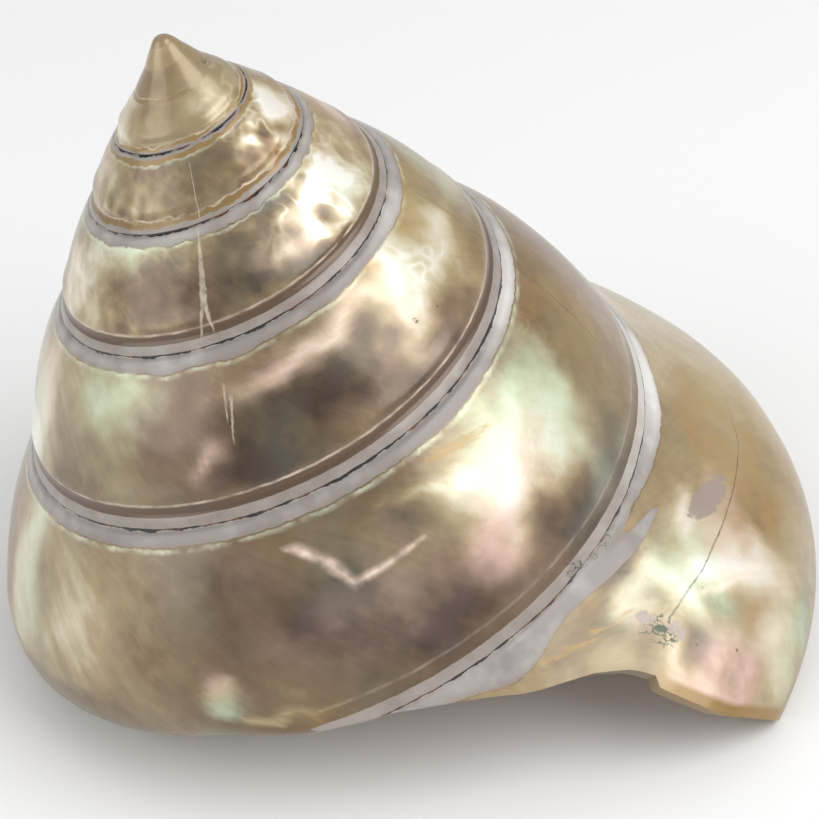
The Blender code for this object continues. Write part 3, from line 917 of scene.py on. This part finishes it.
def draw_base(loft, points, rows, corners):
    """The keel, the base and the funnel. Returns the points of the funnel's ring and its floor."""
    base = slice(SIDE_STEPS, None)
    edge = points[: LINES_TO_SUTURE + 1, -1]
    ages = LIP_AGE - np.arange(LINES_TO_SUTURE + 1) * AGE_STEP
    ring_radius, _ = spiral(ages)
    ring_height = blend(edge[:, 1], FUNNEL_FLOOR, FUNNEL_DEPTH_AT_RING)
    ring = loft.add(turned(np.stack([FUNNEL * ring_radius, ring_height, edge[:, 2]], -1)))
    floor = loft.add([[0, 0, FUNNEL_FLOOR]])[0]
    for newer in range(LINES_TO_SUTURE):
        older = newer + 1
        loft.strip(
            rows[older][base] + [ring[older], floor],
            rows[newer][base] + [ring[newer], floor],
            corners[older][base] + [(ages[older] - 1, share) for share in FUNNEL_PLACES],
            corners[newer][base] + [(ages[newer] - 1, share) for share in FUNNEL_PLACES],
        )
    return ring, floor


def draw_hollow(loft, points, rows, set_back):
    """The hollow: down the wall, along the base, up the pillar and back under the whorl before.
    Returns the points round its mouth."""
    deep = slice(0, HOLLOW_LINES + 1)
    behind_lip = np.arange(HOLLOW_LINES + 1)[:, None] * AGE_STEP
    inner = points[deep, 1:].copy()
    thickness = wall_thickness(inner, behind_lip)
    inner[..., :2] -= outward(points)[deep, 1:] * thickness[..., None]
    inner[:, -1, 0] = points[deep, -1, 0] + thickness[:, -1]
    inner[:, -1, 1] = points[deep, -1, 1] + thickness[:, -1]
    inner_points = loft.add(turned(inner, set_back[deep, 1:]))
    high = points[LINES_TO_SUTURE : LINES_TO_SUTURE + HOLLOW_LINES + 1, -1] + (0, 0, 1)
    share = np.linspace(0, 1, PILLAR_STEPS + 1)[None, 1:-1, None]
    pillar_points = loft.add(turned(blend(inner[:, -1:], high[:, None], share)))
    loops = []
    for line in range(HOLLOW_LINES + 1):
        roof = rows[line + LINES_TO_SUTURE][SIDE_STEPS + KEEL_STEPS :]
        loops.append([roof[0], *inner_points[line], *pillar_points[line], *roof[::-1]])
    places = INSIDE + np.linspace(0, 1, len(loops[0]))
    ages = LIP_AGE - 1 - behind_lip[:, 0]
    inside = [[(age, around) for around in places] for age in ages]
    for newer in range(HOLLOW_LINES):
        older = newer + 1
        loft.strip(loops[older], loops[newer], inside[older], inside[newer])
    loft.polygon(loops[-1][:-1], inside[-1][:-1])
    return loops[0]


def close_mouth(loft, rows, corners, mouth, ring, floor):
    """The rim of the mouth, then the end of the pillar."""
    lip, last_whorl = rows[0], rows[LINES_TO_SUTURE]
    on_keel = last_whorl[SIDE_STEPS : SIDE_STEPS + KEEL_STEPS + 1]
    first = [lip[0], *on_keel[1:], mouth[1], lip[1]]
    loft.polygon(first, [corners[0][0]] * len(first))
    loft.strip(lip[1:], mouth[1 : len(lip)], corners[0][1:], corners[0][1:])
    pillar = mouth[len(lip) - 1 : len(lip) + PILLAR_STEPS]
    across_floor = [lip[-1], ring[0], floor, ring[LINES_TO_SUTURE], pillar[-1]]
    outline = list(dict.fromkeys(across_floor + pillar[::-1]))
    loft.polygon(outline, [(LIP_AGE - 1, PILLAR_END_PLACE)] * len(outline))


def make_shell():
    """The whole shell: whorls, keel and base, rim of the mouth, end of the pillar and hollow."""
    lines_back = np.arange(LINES + 1) * AGE_STEP
    keel_ages = LIP_AGE - lines_back
    points, place = growth_lines(keel_ages)
    fields, rippled = finish_fields(points, place)
    loft = Loft(fields)
    raised = points.copy()
    raised[..., :2] += outward(points) * relief(points, place, fields["swell"], rippled)[..., None]
    raised[..., 1] += MM * blunting(points[..., 0] / MM)
    set_back = chip(lines_back[:, None], place)
    set_back[:, SIDE_STEPS + 1 :] = 0
    rows = shared_rows(loft, raised, set_back, fields)
    corners = [[(age - 1, share) for share in line] for age, line in zip(keel_ages, place)]
    draw_sides(loft, rows, corners)
    ring, floor = draw_base(loft, points, rows, corners)
    mouth = draw_hollow(loft, points, rows, set_back)
    close_mouth(loft, rows, corners, mouth, ring, floor)
    turn = (
        Matrix.Translation(STAND_AT)
        @ Matrix.Rotation(math.radians(TURN_TO_FRONT), 4, "Z")
        @ Matrix.Rotation(math.radians(LEAN_OVER), 4, "X")
        @ Matrix.Rotation(math.radians(TURN_ON_AXIS), 4, "Z")
    )
    return loft.make("pearly_shell", turn)


def linear(colour):
    """An sRGB hex colour as linear red, green, blue and alpha."""
    parts = [int(colour[start : start + 2], 16) / 255 for start in (0, 2, 4)]
    return [part / 12.92 if part <= 0.04045 else ((part + 0.055) / 1.055) ** 2.4 for part in parts] + [1]


def add(tree, kind, inputs=(), out=0, **settings):
    """A new node with its settings, and its inputs in order or by name or number. An input is a
    value or another node's output. What comes back is the output with this name or number."""
    made = tree.nodes.new("ShaderNode" + kind)
    for name, value in settings.items():
        setattr(made, name, value)
    for name, value in inputs.items() if isinstance(inputs, dict) else enumerate(inputs):
        if isinstance(value, bpy.types.NodeSocket):
            tree.links.new(value, made.inputs[name])
        else:
            made.inputs[name].default_value = value
    return made.outputs[out]


def new_material(name):
    """A material, its node tree, and the plain shader in it to link to."""
    material = bpy.data.materials.new(name)
    material.use_nodes = True
    tree = material.node_tree
    return material, tree, tree.nodes["Principled BSDF"]


def lumps(tree, place, size_mm, low, high, detail=2.0):
    """Lumps of about this size, with values from low to high."""
    scale = 1 / (size_mm * MM)
    uneven = add(tree, "TexNoise", {"Vector": place, "Scale": scale, "Detail": detail})
    return add(tree, "MapRange", (uneven, *LUMPY_RANGE, low, high))


def painted(tree, colour, layers):
    """The colour with each layer, which is a mask and a colour, laid over the ones before it."""
    for mask, tint in layers:
        sockets = {MIX_FACTOR: mask, MIX_UNDER: colour, MIX_OVER: tint}
        colour = add(tree, "Mix", sockets, out=MIX_RESULT, data_type="RGBA")
    return colour


def pearl_tone_and_painted_light(tree, place, growth, age, fields):
    """How light the pearl is, from 0 at its darkest to 1: its own tone, with painted highlights,
    reflections and shade laid in.
    """
    # Pearl is laid down in growth lines, which show as fine and as broad streaks across the whorl.
    fine = add(tree, "VectorMath", (growth, FINE_STREAKS), operation="MULTIPLY")
    fine = add(tree, "TexNoise", {"Vector": fine, "Scale": 1.0, "Detail": 3.0})
    fine = add(tree, "MapRange", (fine, *LUMPY_RANGE, -FINE_STREAK_LIGHT, FINE_STREAK_LIGHT))
    broad = add(tree, "VectorMath", (growth, BROAD_STREAKS), operation="MULTIPLY")
    broad = add(tree, "TexNoise", {"Vector": broad, "Scale": 1.0, "Detail": 2.0})
    broad = add(tree, "MapRange", (broad, *LUMPY_RANGE, -BROAD_STREAK_LIGHT, BROAD_STREAK_LIGHT))
    broad = add(tree, "Math", (broad, fields["streaky"]), operation="MULTIPLY")

    # Hammered pearl: painted shade in the hollows and painted highlights along the crests between them.
    swirled = {"Vector": place, "Scale": 1 / (HOLLOW_MM * MM), "Detail": 1.0, "Distortion": 0.7}
    crest_light_and_shade = add(tree, "TexNoise", swirled)
    crest_light_and_shade = add(tree, "Math", (crest_light_and_shade, 0.5), operation="SUBTRACT")
    crest_light_and_shade = add(tree, "Math", (crest_light_and_shade,), operation="ABSOLUTE")
    steps = (crest_light_and_shade, 0.0, CREST_WIDTH, *CREST_HIGHLIGHT_TO_HOLLOW_SHADE)
    crest_light_and_shade = add(tree, "MapRange", steps, interpolation_type="SMOOTHSTEP")
    crest_light_and_shade = add(tree, "Math", (crest_light_and_shade, fields["hammered"]), operation="MULTIPLY")

    # The young whorls are the most mottled, but not the worn tip.
    clouds = lumps(tree, place, CLOUD_MM, -1.0, 1.0, 3.0)
    cloudy = add(tree, "MapRange", (age, *CLOUD_LIGHT))
    clouds = add(tree, "Math", (clouds, cloudy), operation="MULTIPLY")
    mottle = lumps(tree, place, MOTTLE_MM, -1.0, 1.0)
    mottled = add(tree, "MapRange", (age, *MOTTLE_LIGHT))
    mottled = add(tree, "MapRange", (age, *MOTTLE_SETTLES, mottled, MOTTLE_LIGHT_SETTLED))
    mottle = add(tree, "Math", (mottle, mottled), operation="MULTIPLY")
    light = add(tree, "MapRange", (age, *PEARL_LEVEL))
    on_last = add(tree, "MapRange", (age, *LAST_WHORL_LIGHTER))
    for part in (on_last, fields["light"], clouds, mottle, fine, broad, crest_light_and_shade):
        light = add(tree, "Math", (light, part), operation="ADD")
    return light


def nacre_colour(tree, place, growth, age):
    """The pearl under the bands: dark taupe to cream, its own tone mixed with painted highlights and
    reflections, with drifts of pink, green and gold.
    """
    colours = bpy.context.scene.shell_colours
    fields = {name: add(tree, "Attribute", out="Fac", attribute_name=name) for name in PEARL_FIELDS}
    ramp = add(tree, "ValToRGB", (pearl_tone_and_painted_light(tree, place, growth, age, fields),)).node
    # The darkest and palest tones also carry the painted dark reflections and painted highlights.
    tints = (colours.dark_taupe, colours.taupe, colours.tan, colours.cream, colours.pale)
    while len(ramp.color_ramp.elements) < len(tints):
        ramp.color_ramp.elements.new(0.5)
    for stop, at, tint in zip(ramp.color_ramp.elements, PEARL_STOPS, tints):
        stop.position = at
        stop.color = tint

    # Light goes in and comes back out of the thin layers of pearl in these colours.
    drift = lumps(tree, place, DRIFT_MM, -DRIFT_TINT, DRIFT_TINT)
    back = add(tree, "Math", (0.0, drift), operation="SUBTRACT")
    broken = lumps(tree, place, TINT_BREAKS_MM, 0.45, 1.0, 3.0)
    layers = []
    for name, everywhere in (("gold", 0.0), ("pink", drift), ("green", back)):
        amount = add(tree, "Math", (fields[name], broken), operation="MULTIPLY")
        amount = add(tree, "Math", (amount, everywhere), operation="ADD")
        amount = add(tree, "MapRange", (amount, 0.0, 1.0, 0.0, TINT_MOST))
        layers.append((amount, getattr(colours, name)))
    return painted(tree, ramp.outputs["Color"], layers)


def groove_layers(tree, above, seam_age, uneven):
    """Above a seam: a brown groove, then a painted highlight along the raised rim. Each is a mask and a
    colour.
    """
    colours = bpy.context.scene.shell_colours
    brown = add(tree, "MapRange", (seam_age, *GROOVE_BROWNS))
    tint = painted(tree, colours.golden_brown, [(brown, colours.groove)])
    most = add(tree, "MapRange", (seam_age, *GROOVE_STRENGTH))
    most = add(tree, "MapRange", (seam_age, *GROOVE_BEGINS, 0.0, most))
    patchy = add(tree, "MapRange", (uneven, 0.1, 0.7, 0.25, 1.0))
    patchy = add(tree, "MapRange", (brown, 0.0, 1.0, patchy, 1.0))
    most = add(tree, "Math", (most, patchy), operation="MULTIPLY")
    start = add(tree, "MapRange", (seam_age, *GROOVE_START_MM))
    end = add(tree, "MapRange", (seam_age, *GROOVE_END_MM))
    past_start = add(tree, "Math", (above, start), operation="SUBTRACT")
    past_end = add(tree, "Math", (above, end), operation="SUBTRACT")
    rim = add(tree, "Math", (most, uneven), operation="MULTIPLY")
    for edge in RIM_HIGHLIGHT_EDGES:
        rim = add(tree, "MapRange", (past_end, *edge, 0.0, rim))
    groove = most
    for past, edge in zip((past_start, past_end), GROOVE_EDGES):
        groove = add(tree, "MapRange", (past, *edge, 0.0, groove))
    return [(rim, colours.rim), (groove, tint)]


def line_layers(tree, past_strip, age, uneven):
    """Below a seam, along the strip's edge: a pale green line, then a thin olive one."""
    colours = bpy.context.scene.shell_colours
    golden = add(tree, "MapRange", (age, *LINE_GOLDEN))
    line_end = add(tree, "MapRange", (golden, 0.0, 1.0, *OLIVE_LINE_MM))
    past_line = add(tree, "Math", (past_strip, line_end), operation="SUBTRACT")
    pale = add(tree, "MapRange", (uneven, 0.1, 1.0, 0.0, 0.7))
    pale = add(tree, "MapRange", (age, *STRIP_BEGINS, 0.0, pale))
    pale = add(tree, "MapRange", (age, *PALE_LINE_STOPS, pale, 0.0))
    for edge in PALE_LINE_EDGES:
        pale = add(tree, "MapRange", (past_line, *edge, 0.0, pale))
    line = add(tree, "Math", (uneven, golden), operation="ADD")
    line = add(tree, "MapRange", (age, *STRIP_BEGINS, 0.0, line))
    for past, edge in zip((past_strip, past_line), OLIVE_LINE_EDGES):
        line = add(tree, "MapRange", (past, *edge, 0.0, line))
    line = add(tree, "MapRange", (line, 0.0, 1.0, 0.0, 0.8))
    tint = painted(tree, colours.olive, [(golden, colours.golden_brown)])
    return [(pale, colours.pale_green), (line, tint)]


def seam_layers(tree, place, sides):
    """The seam itself, which comes and goes, on both of its sides."""
    colours = bpy.context.scene.shell_colours
    weight = lumps(tree, place, 3.2, 0.0, 1.0, 3.0)
    wobble = lumps(tree, place, 2.4, -SEAM_WOBBLE_MM, SEAM_WOBBLE_MM)
    thick = add(tree, "MapRange", (weight, 0.2, 0.9, *SEAM_REACH_MM))
    dirty = add(tree, "MapRange", (weight, 0.3, 0.5))
    tint = painted(tree, colours.stained_seam, [(dirty, colours.seam)])
    layers = []
    for (distance, age), way in zip(sides, ("SUBTRACT", "ADD")):
        young = add(tree, "MapRange", (age, *SEAM_THICKER))
        reach = add(tree, "Math", (thick, young), operation="MULTIPLY")
        reach = add(tree, "Math", (reach, wobble), operation=way)
        soft = add(tree, "Math", (reach, SEAM_SOFT_MM), operation="ADD")
        mask = add(tree, "MapRange", (age, *STRIP_BEGINS))
        mask = add(tree, "MapRange", (age, *SEAM_STOPS, 0.0, mask))
        mask = add(tree, "MapRange", (distance, soft, reach, 0.0, mask))
        layers.append((mask, tint))
    return layers


def damage_layers(tree, place, growth_age, across, marks):
    """The lip's broken edge, the dull flakes, the stained hole and the pits."""
    colours = bpy.context.scene.shell_colours
    at_lip = add(tree, "MapRange", (growth_age, *LIP_EDGE))
    at_lip = add(tree, "MapRange", (across, *LIP_EDGE_STARTS, 0.0, at_lip))

    # Dirt has crept along fine cracks round the hole.
    ragged = lumps(tree, place, RAGGED_MM, -0.12, 0.12, 3.0)
    fine = {"Vector": place, "Scale": 1 / (CRACKED_MM * MM), "Detail": 2.0}
    cracked = add(tree, "TexNoise", fine)
    cracked = add(tree, "Math", (cracked, 0.5), operation="SUBTRACT")
    cracked = add(tree, "Math", (cracked,), operation="ABSOLUTE")
    cracked = add(tree, "MapRange", (cracked, *CRACK_WIDTH))
    around = add(tree, "Math", (marks["stain"], ragged), operation="ADD")
    dull = add(tree, "MapRange", (around, 0.15, 0.5, 0.0, 0.35))
    creeping = add(tree, "MapRange", (around, 0.2, 0.4, 0.0, cracked))
    hole = add(tree, "MapRange", (around, 0.82, 0.95))
    flaked = add(tree, "Math", (marks["flake"], ragged), operation="ADD")
    flaked = add(tree, "MapRange", (flaked, 0.42, 0.5, 0.0, 0.85))

    # Pits, each a dark dot.
    dots = {"Vector": place, "Scale": 1 / (PIT_SPACING_MM * MM)}
    to_dot = add(tree, "TexVoronoi", dots)
    chosen = add(tree, "SeparateXYZ", (add(tree, "TexVoronoi", dots, out="Color"),))
    pit = add(tree, "MapRange", (chosen, *PITS_CHOSEN, 0.0, marks["pitted"]))
    pit = add(tree, "MapRange", (to_dot, *PIT_EDGE, 0.0, pit))
    return [
        (at_lip, colours.golden_brown),
        (dull, colours.olive),
        (creeping, colours.stain),
        (flaked, colours.flake),
        (hole, colours.stain),
        (pit, colours.seam),
    ]


def hairline_layers(tree, place, marks):
    """The light along the creases, then the golden rays, the cracks and the scratches."""
    colours = bpy.context.scene.shell_colours
    layers = []
    for name in ("crease", "branch"):
        away = add(tree, "Math", (marks[name],), operation="ABSOLUTE")
        lit = lumps(tree, place, 2.0, 0.2, 1.0)
        lit = add(tree, "Math", (marks[name + "_near"], lit), operation="MULTIPLY")
        layers.append((add(tree, "MapRange", (away, *CREASE_EDGE, 0.0, lit)), colours.crease))
    uneven = lumps(tree, place, 0.6, -0.4, 0.4)
    broken = lumps(tree, place, 1.0, 0.4, 1.0)
    for name, tint, most in (
        ("ray", colours.gold, 0.7),
        ("upper_ray", colours.gold, 0.7),
        ("crack", colours.seam, 0.75),
        ("scratch", colours.scratch, 0.85),
        ("prong", colours.scratch, 0.7),
    ):
        away = add(tree, "Math", (marks[name], uneven), operation="ADD")
        away = add(tree, "Math", (away,), operation="ABSOLUTE")
        mask = add(tree, "Math", (marks[name + "_near"], broken), operation="MULTIPLY")
        mask = add(tree, "MapRange", (away, *LINE_EDGE, 0.0, mask))
        layers.append((add(tree, "MapRange", (mask, 0.0, 1.0, 0.0, most)), tint))
    return layers


def polished_nacre():
    """Mother of pearl, ground bare of its outer layer and buffed: satin depth under a clear gloss,
    with white chalky strips where the grinding stopped short of the pearl."""
    colours = bpy.context.scene.shell_colours
    material, tree, shader = new_material("polished_nacre")
    place = add(tree, "TexCoord", out="Object")
    growth = add(tree, "UVMap", uv_map="growth")
    turns = add(tree, "UVMap", uv_map="turns")
    bands = add(tree, "UVMap", uv_map="bands")
    below = add(tree, "SeparateXYZ", (bands,), out="X")
    above = add(tree, "SeparateXYZ", (bands,), out="Y")
    age = add(tree, "SeparateXYZ", (turns,), out="X")
    lower_age = add(tree, "Math", (age, 1.0), operation="ADD")
    growth_age = add(tree, "SeparateXYZ", (growth,), out="X")
    across = add(tree, "SeparateXYZ", (growth,), out="Y")
    marks = {name: add(tree, "Attribute", out="Fac", attribute_name=name) for name in MARK_FIELDS}
    uneven = lumps(tree, place, 2.2, 0.1, 1.0)

    # The edges of the bands wander, most of all on the young whorls.
    wander = lumps(tree, place, 1.5, -1.0, 1.0)
    loose = add(tree, "MapRange", (age, *WANDER_BELOW_MM))
    loose_above = add(tree, "MapRange", (lower_age, *WANDER_ABOVE_MM))
    below = add(tree, "Math", (wander, loose, below), operation="MULTIPLY_ADD")
    below = add(tree, "Math", (below, lumps(tree, place, 0.6, -0.06, 0.06)), operation="ADD")
    above_edge = add(tree, "Math", (wander, loose_above, above), operation="MULTIPLY_ADD")
    edge = add(tree, "MapRange", (age, *LOWER_STRIP_MM))
    edge = add(tree, "Math", (edge, marks["strip"]), operation="ADD")
    past_strip = add(tree, "Math", (below, edge), operation="SUBTRACT")

    # The white strips on both sides of a seam, with painted shade towards their lower edge.
    white_below = add(tree, "MapRange", (age, *STRIP_BEGINS))
    white_below = add(tree, "MapRange", (past_strip, *STRIP_EDGE, 0.0, white_below))
    upper_edge = add(tree, "MapRange", (lower_age, *UPPER_STRIP_MM))
    soft_edge = add(tree, "Math", (upper_edge, UPPER_STRIP_SOFT), operation="ADD")
    white_above = add(tree, "MapRange", (lower_age, *STRIP_BEGINS))
    white_above = add(tree, "MapRange", (above_edge, soft_edge, upper_edge, 0.0, white_above))
    white = add(tree, "Math", (white_below, white_above), operation="MAXIMUM")
    # Painted light and shade on the strips from the lamps, with a little uneven tone of their own.
    strip_light_and_tone = add(tree, "Math", (marks["chalk"], lumps(tree, place, 3.0, 0.0, 0.3)), operation="ADD")
    shaded = add(tree, "MapRange", (past_strip, *STRIP_SHADED, 0.0, 0.4))
    chalky = [(strip_light_and_tone, colours.lit_strip), (shaded, colours.strip_edge_shade)]
    chalk = painted(tree, colours.shaded_strip, chalky)

    # The hollow keeps its own dull pearl.
    inside = add(tree, "MapRange", (across, *INSIDE_STARTS))
    dull = painted(tree, colours.cream, [(lumps(tree, place, 6.0, 0.0, 1.0), colours.pink)])

    layers = groove_layers(tree, above_edge, lower_age, uneven)
    layers += line_layers(tree, past_strip, age, uneven)
    layers.append((white, chalk))
    layers += seam_layers(tree, place, ((above, lower_age), (below, age)))
    layers += damage_layers(tree, place, growth_age, across, marks)
    layers += hairline_layers(tree, place, marks)
    layers.append((inside, dull))
    colour = painted(tree, nacre_colour(tree, place, growth, age), layers)
    dimples = {"Height": lumps(tree, place, DIMPLE_MM, 0.0, 1.0), "Distance": DIMPLE_DEPTH_MM * MM}
    finish = {
        "Base Color": colour,
        "Metallic": add(tree, "MapRange", (white, 0.0, 1.0, NACRE_METALLIC, 0.0)),
        "Roughness": add(tree, "MapRange", (white, 0.0, 1.0, NACRE_ROUGHNESS, STRIP_ROUGHNESS)),
        "Normal": add(tree, "Bump", dimples | {"Strength": 1.0}),
    }
    for name, output in finish.items():
        tree.links.new(output, shader.inputs[name])
    shader.inputs["Coat Weight"].default_value = COAT_WEIGHT
    shader.inputs["Coat Roughness"].default_value = COAT_ROUGHNESS
    return material


def painted_floor():
    """A board with matt pale paint: an even ground that shows the soft shadow and no shine."""
    material, _, shader = new_material("painted_floor")
    shader.inputs["Base Color"].default_value = FLOOR_COLOUR
    shader.inputs["Roughness"].default_value = FLOOR_ROUGHNESS
    return material


def make_floor(scene):
    """The wide floor under the shell."""
    mesh = bpy.data.meshes.new("floor")
    half = FLOOR_HALF
    corners = [(-half, -half, 0), (half, -half, 0), (half, half, 0), (-half, half, 0)]
    mesh.from_pydata(corners, [], [(0, 1, 2, 3)])
    mesh.materials.append(painted_floor())
    floor = bpy.data.objects.new("floor", mesh)
    scene.collection.objects.link(floor)


def light_scene(scene):
    """A white sky and the soft lamps."""
    world = bpy.data.worlds.new("studio")
    world.use_nodes = True
    background = world.node_tree.nodes["Background"]
    background.inputs["Color"].default_value = SKY_COLOUR
    background.inputs["Strength"].default_value = SKY_STRENGTH
    scene.world = world
    scene.view_settings.view_transform = "Standard"
    for name, (watts, size, at) in LAMPS.items():
        light = bpy.data.lights.new(name, "AREA")
        light.shape = "DISK"
        light.energy = watts
        light.size = size
        lamp = bpy.data.objects.new(name, light)
        lamp.location = at
        towards = Vector(LAMPS_FACE) - lamp.location
        lamp.rotation_euler = towards.to_track_quat("-Z", "Y").to_euler()
        scene.collection.objects.link(lamp)


def place_camera(scene):
    """The camera where the photograph's stood."""
    lens = bpy.data.cameras.new("camera")
    lens.lens = LENS_MM
    lens.sensor_width = SENSOR_MM
    camera = bpy.data.objects.new("camera", lens)
    camera.location = CAMERA_AT
    camera.rotation_euler = [math.radians(angle) for angle in CAMERA_TURN]
    scene.collection.objects.link(camera)
    scene.camera = camera


class ShellSizes(bpy.types.PropertyGroup):
    """Sizes of the shell's relief."""

    rim_height_mm: FloatProperty(
        name="Rim height", description="Of the pearly edge above a seam, in mm", default=0.25
    )
    groove_depth_mm: FloatProperty(
        name="Groove depth", description="Of the groove above a seam, in mm", default=0.35
    )
    groove_width_mm: FloatProperty(
        name="Groove width", description="Half the groove's width, in mm", default=0.8
    )
    step_depth_mm: FloatProperty(name="Seam depth", description="Of the seam, in mm", default=0.35)


def colour_choice(name, description, colour):
    """A colour that the panel's user can change."""
    return FloatVectorProperty(
        name=name, description=description, subtype="COLOR", size=4, default=linear(colour)
    )


class ShellColours(bpy.types.PropertyGroup):
    """Colours of the shell's finish."""

    dark_taupe: colour_choice("Dark taupe", "Pearl at its darkest", "3c2814")
    taupe: colour_choice("Taupe", "Dark pearl", "735c40")
    tan: colour_choice("Tan", "Middle pearl", "a38f6a")
    cream: colour_choice("Cream", "Pale pearl", "d2c8ae")
    pale: colour_choice("Pale", "Pearl at its palest", "f1eee4")
    pink: colour_choice("Pink", "Pink shine of pearl", "e2c0b6")
    green: colour_choice("Green", "Green shine of pearl", "c2dabc")
    gold: colour_choice("Gold", "Golden pearl", "a4803e")
    # The pale line along the raised rim above the groove is a painted highlight.
    rim: colour_choice("Rim", "Pale rim above the groove", "cdb7a4")
    groove: colour_choice("Groove", "Brown groove on the old whorls", "584230")
    golden_brown: colour_choice("Golden brown", "Groove on the young whorls", "8e713e")
    olive: colour_choice("Olive", "Line along the white strip", "66583a")
    pale_green: colour_choice("Pale green", "Pale line beside the olive one", "d0d8bc")
    # The chalky strips come in a lit and a shaded copy, and the painted light and shade on them is mixed
    # between the two.
    lit_strip: colour_choice("White strip", "Chalky white shell", "d9d5d0")
    shaded_strip: colour_choice("Grey strip", "Chalky shell in the shade", "8a827d")
    # Painted shade along the strip's lower edge, where its rounded form turns from the light.
    strip_edge_shade: colour_choice("Strip edge", "Where the chalky shell thins out", "7d7060")
    seam: colour_choice("Seam", "Dirt in the seam", "100a06")
    stained_seam: colour_choice("Stained seam", "Where the seam is clean", "5c3418")
    flake: colour_choice("Flake", "Dull layer under the pearl", "9c8c84")
    stain: colour_choice("Stain", "Dirt in the holes", "3c4630")
    crease: colour_choice("Crease", "Pink light along the crease", "f7dcc8")
    scratch: colour_choice("Scratch", "Chalky scratch", "c8bba8")


class SHELL_OT_body(bpy.types.Operator):
    """Makes the shell"""

    bl_idname = "shell.body"
    bl_label = "Shell"

    def execute(self, context):
        shell = make_shell()
        shell.data.materials.append(polished_nacre())
        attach(shell, "root")
        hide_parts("shell")
        return {"FINISHED"}


class SHELL_OT_stage(bpy.types.Operator):
    """Makes the floor, the lights and the camera"""

    bl_idname = "shell.stage"
    bl_label = "Stage"

    def execute(self, context):
        make_floor(context.scene)
        light_scene(context.scene)
        place_camera(context.scene)
        return {"FINISHED"}


class SHELL_PT_panel(bpy.types.Panel):
    """Lists the makers of the shell and its stage"""

    bl_label = "Top shell"
    bl_idname = "SHELL_PT_panel"
    bl_space_type = "VIEW_3D"
    bl_region_type = "UI"
    bl_category = "Top shell"

    def draw(self, context):
        for maker in MAKERS:
            self.layout.operator(maker.bl_idname)


MAKERS = (SHELL_OT_body, SHELL_OT_stage)
CLASSES = (ShellSizes, ShellColours, *MAKERS, SHELL_PT_panel)


def register():
    for item in CLASSES:
        bpy.utils.register_class(item)
    bpy.types.Scene.shell_sizes = PointerProperty(type=ShellSizes)
    bpy.types.Scene.shell_colours = PointerProperty(type=ShellColours)


def unregister():
    del bpy.types.Scene.shell_sizes
    del bpy.types.Scene.shell_colours
    for item in reversed(CLASSES):
        bpy.utils.unregister_class(item)


def main():
    register()
    bpy.ops.shell.stage()
    bpy.ops.shell.body()


if __name__ == "__main__":
    main()
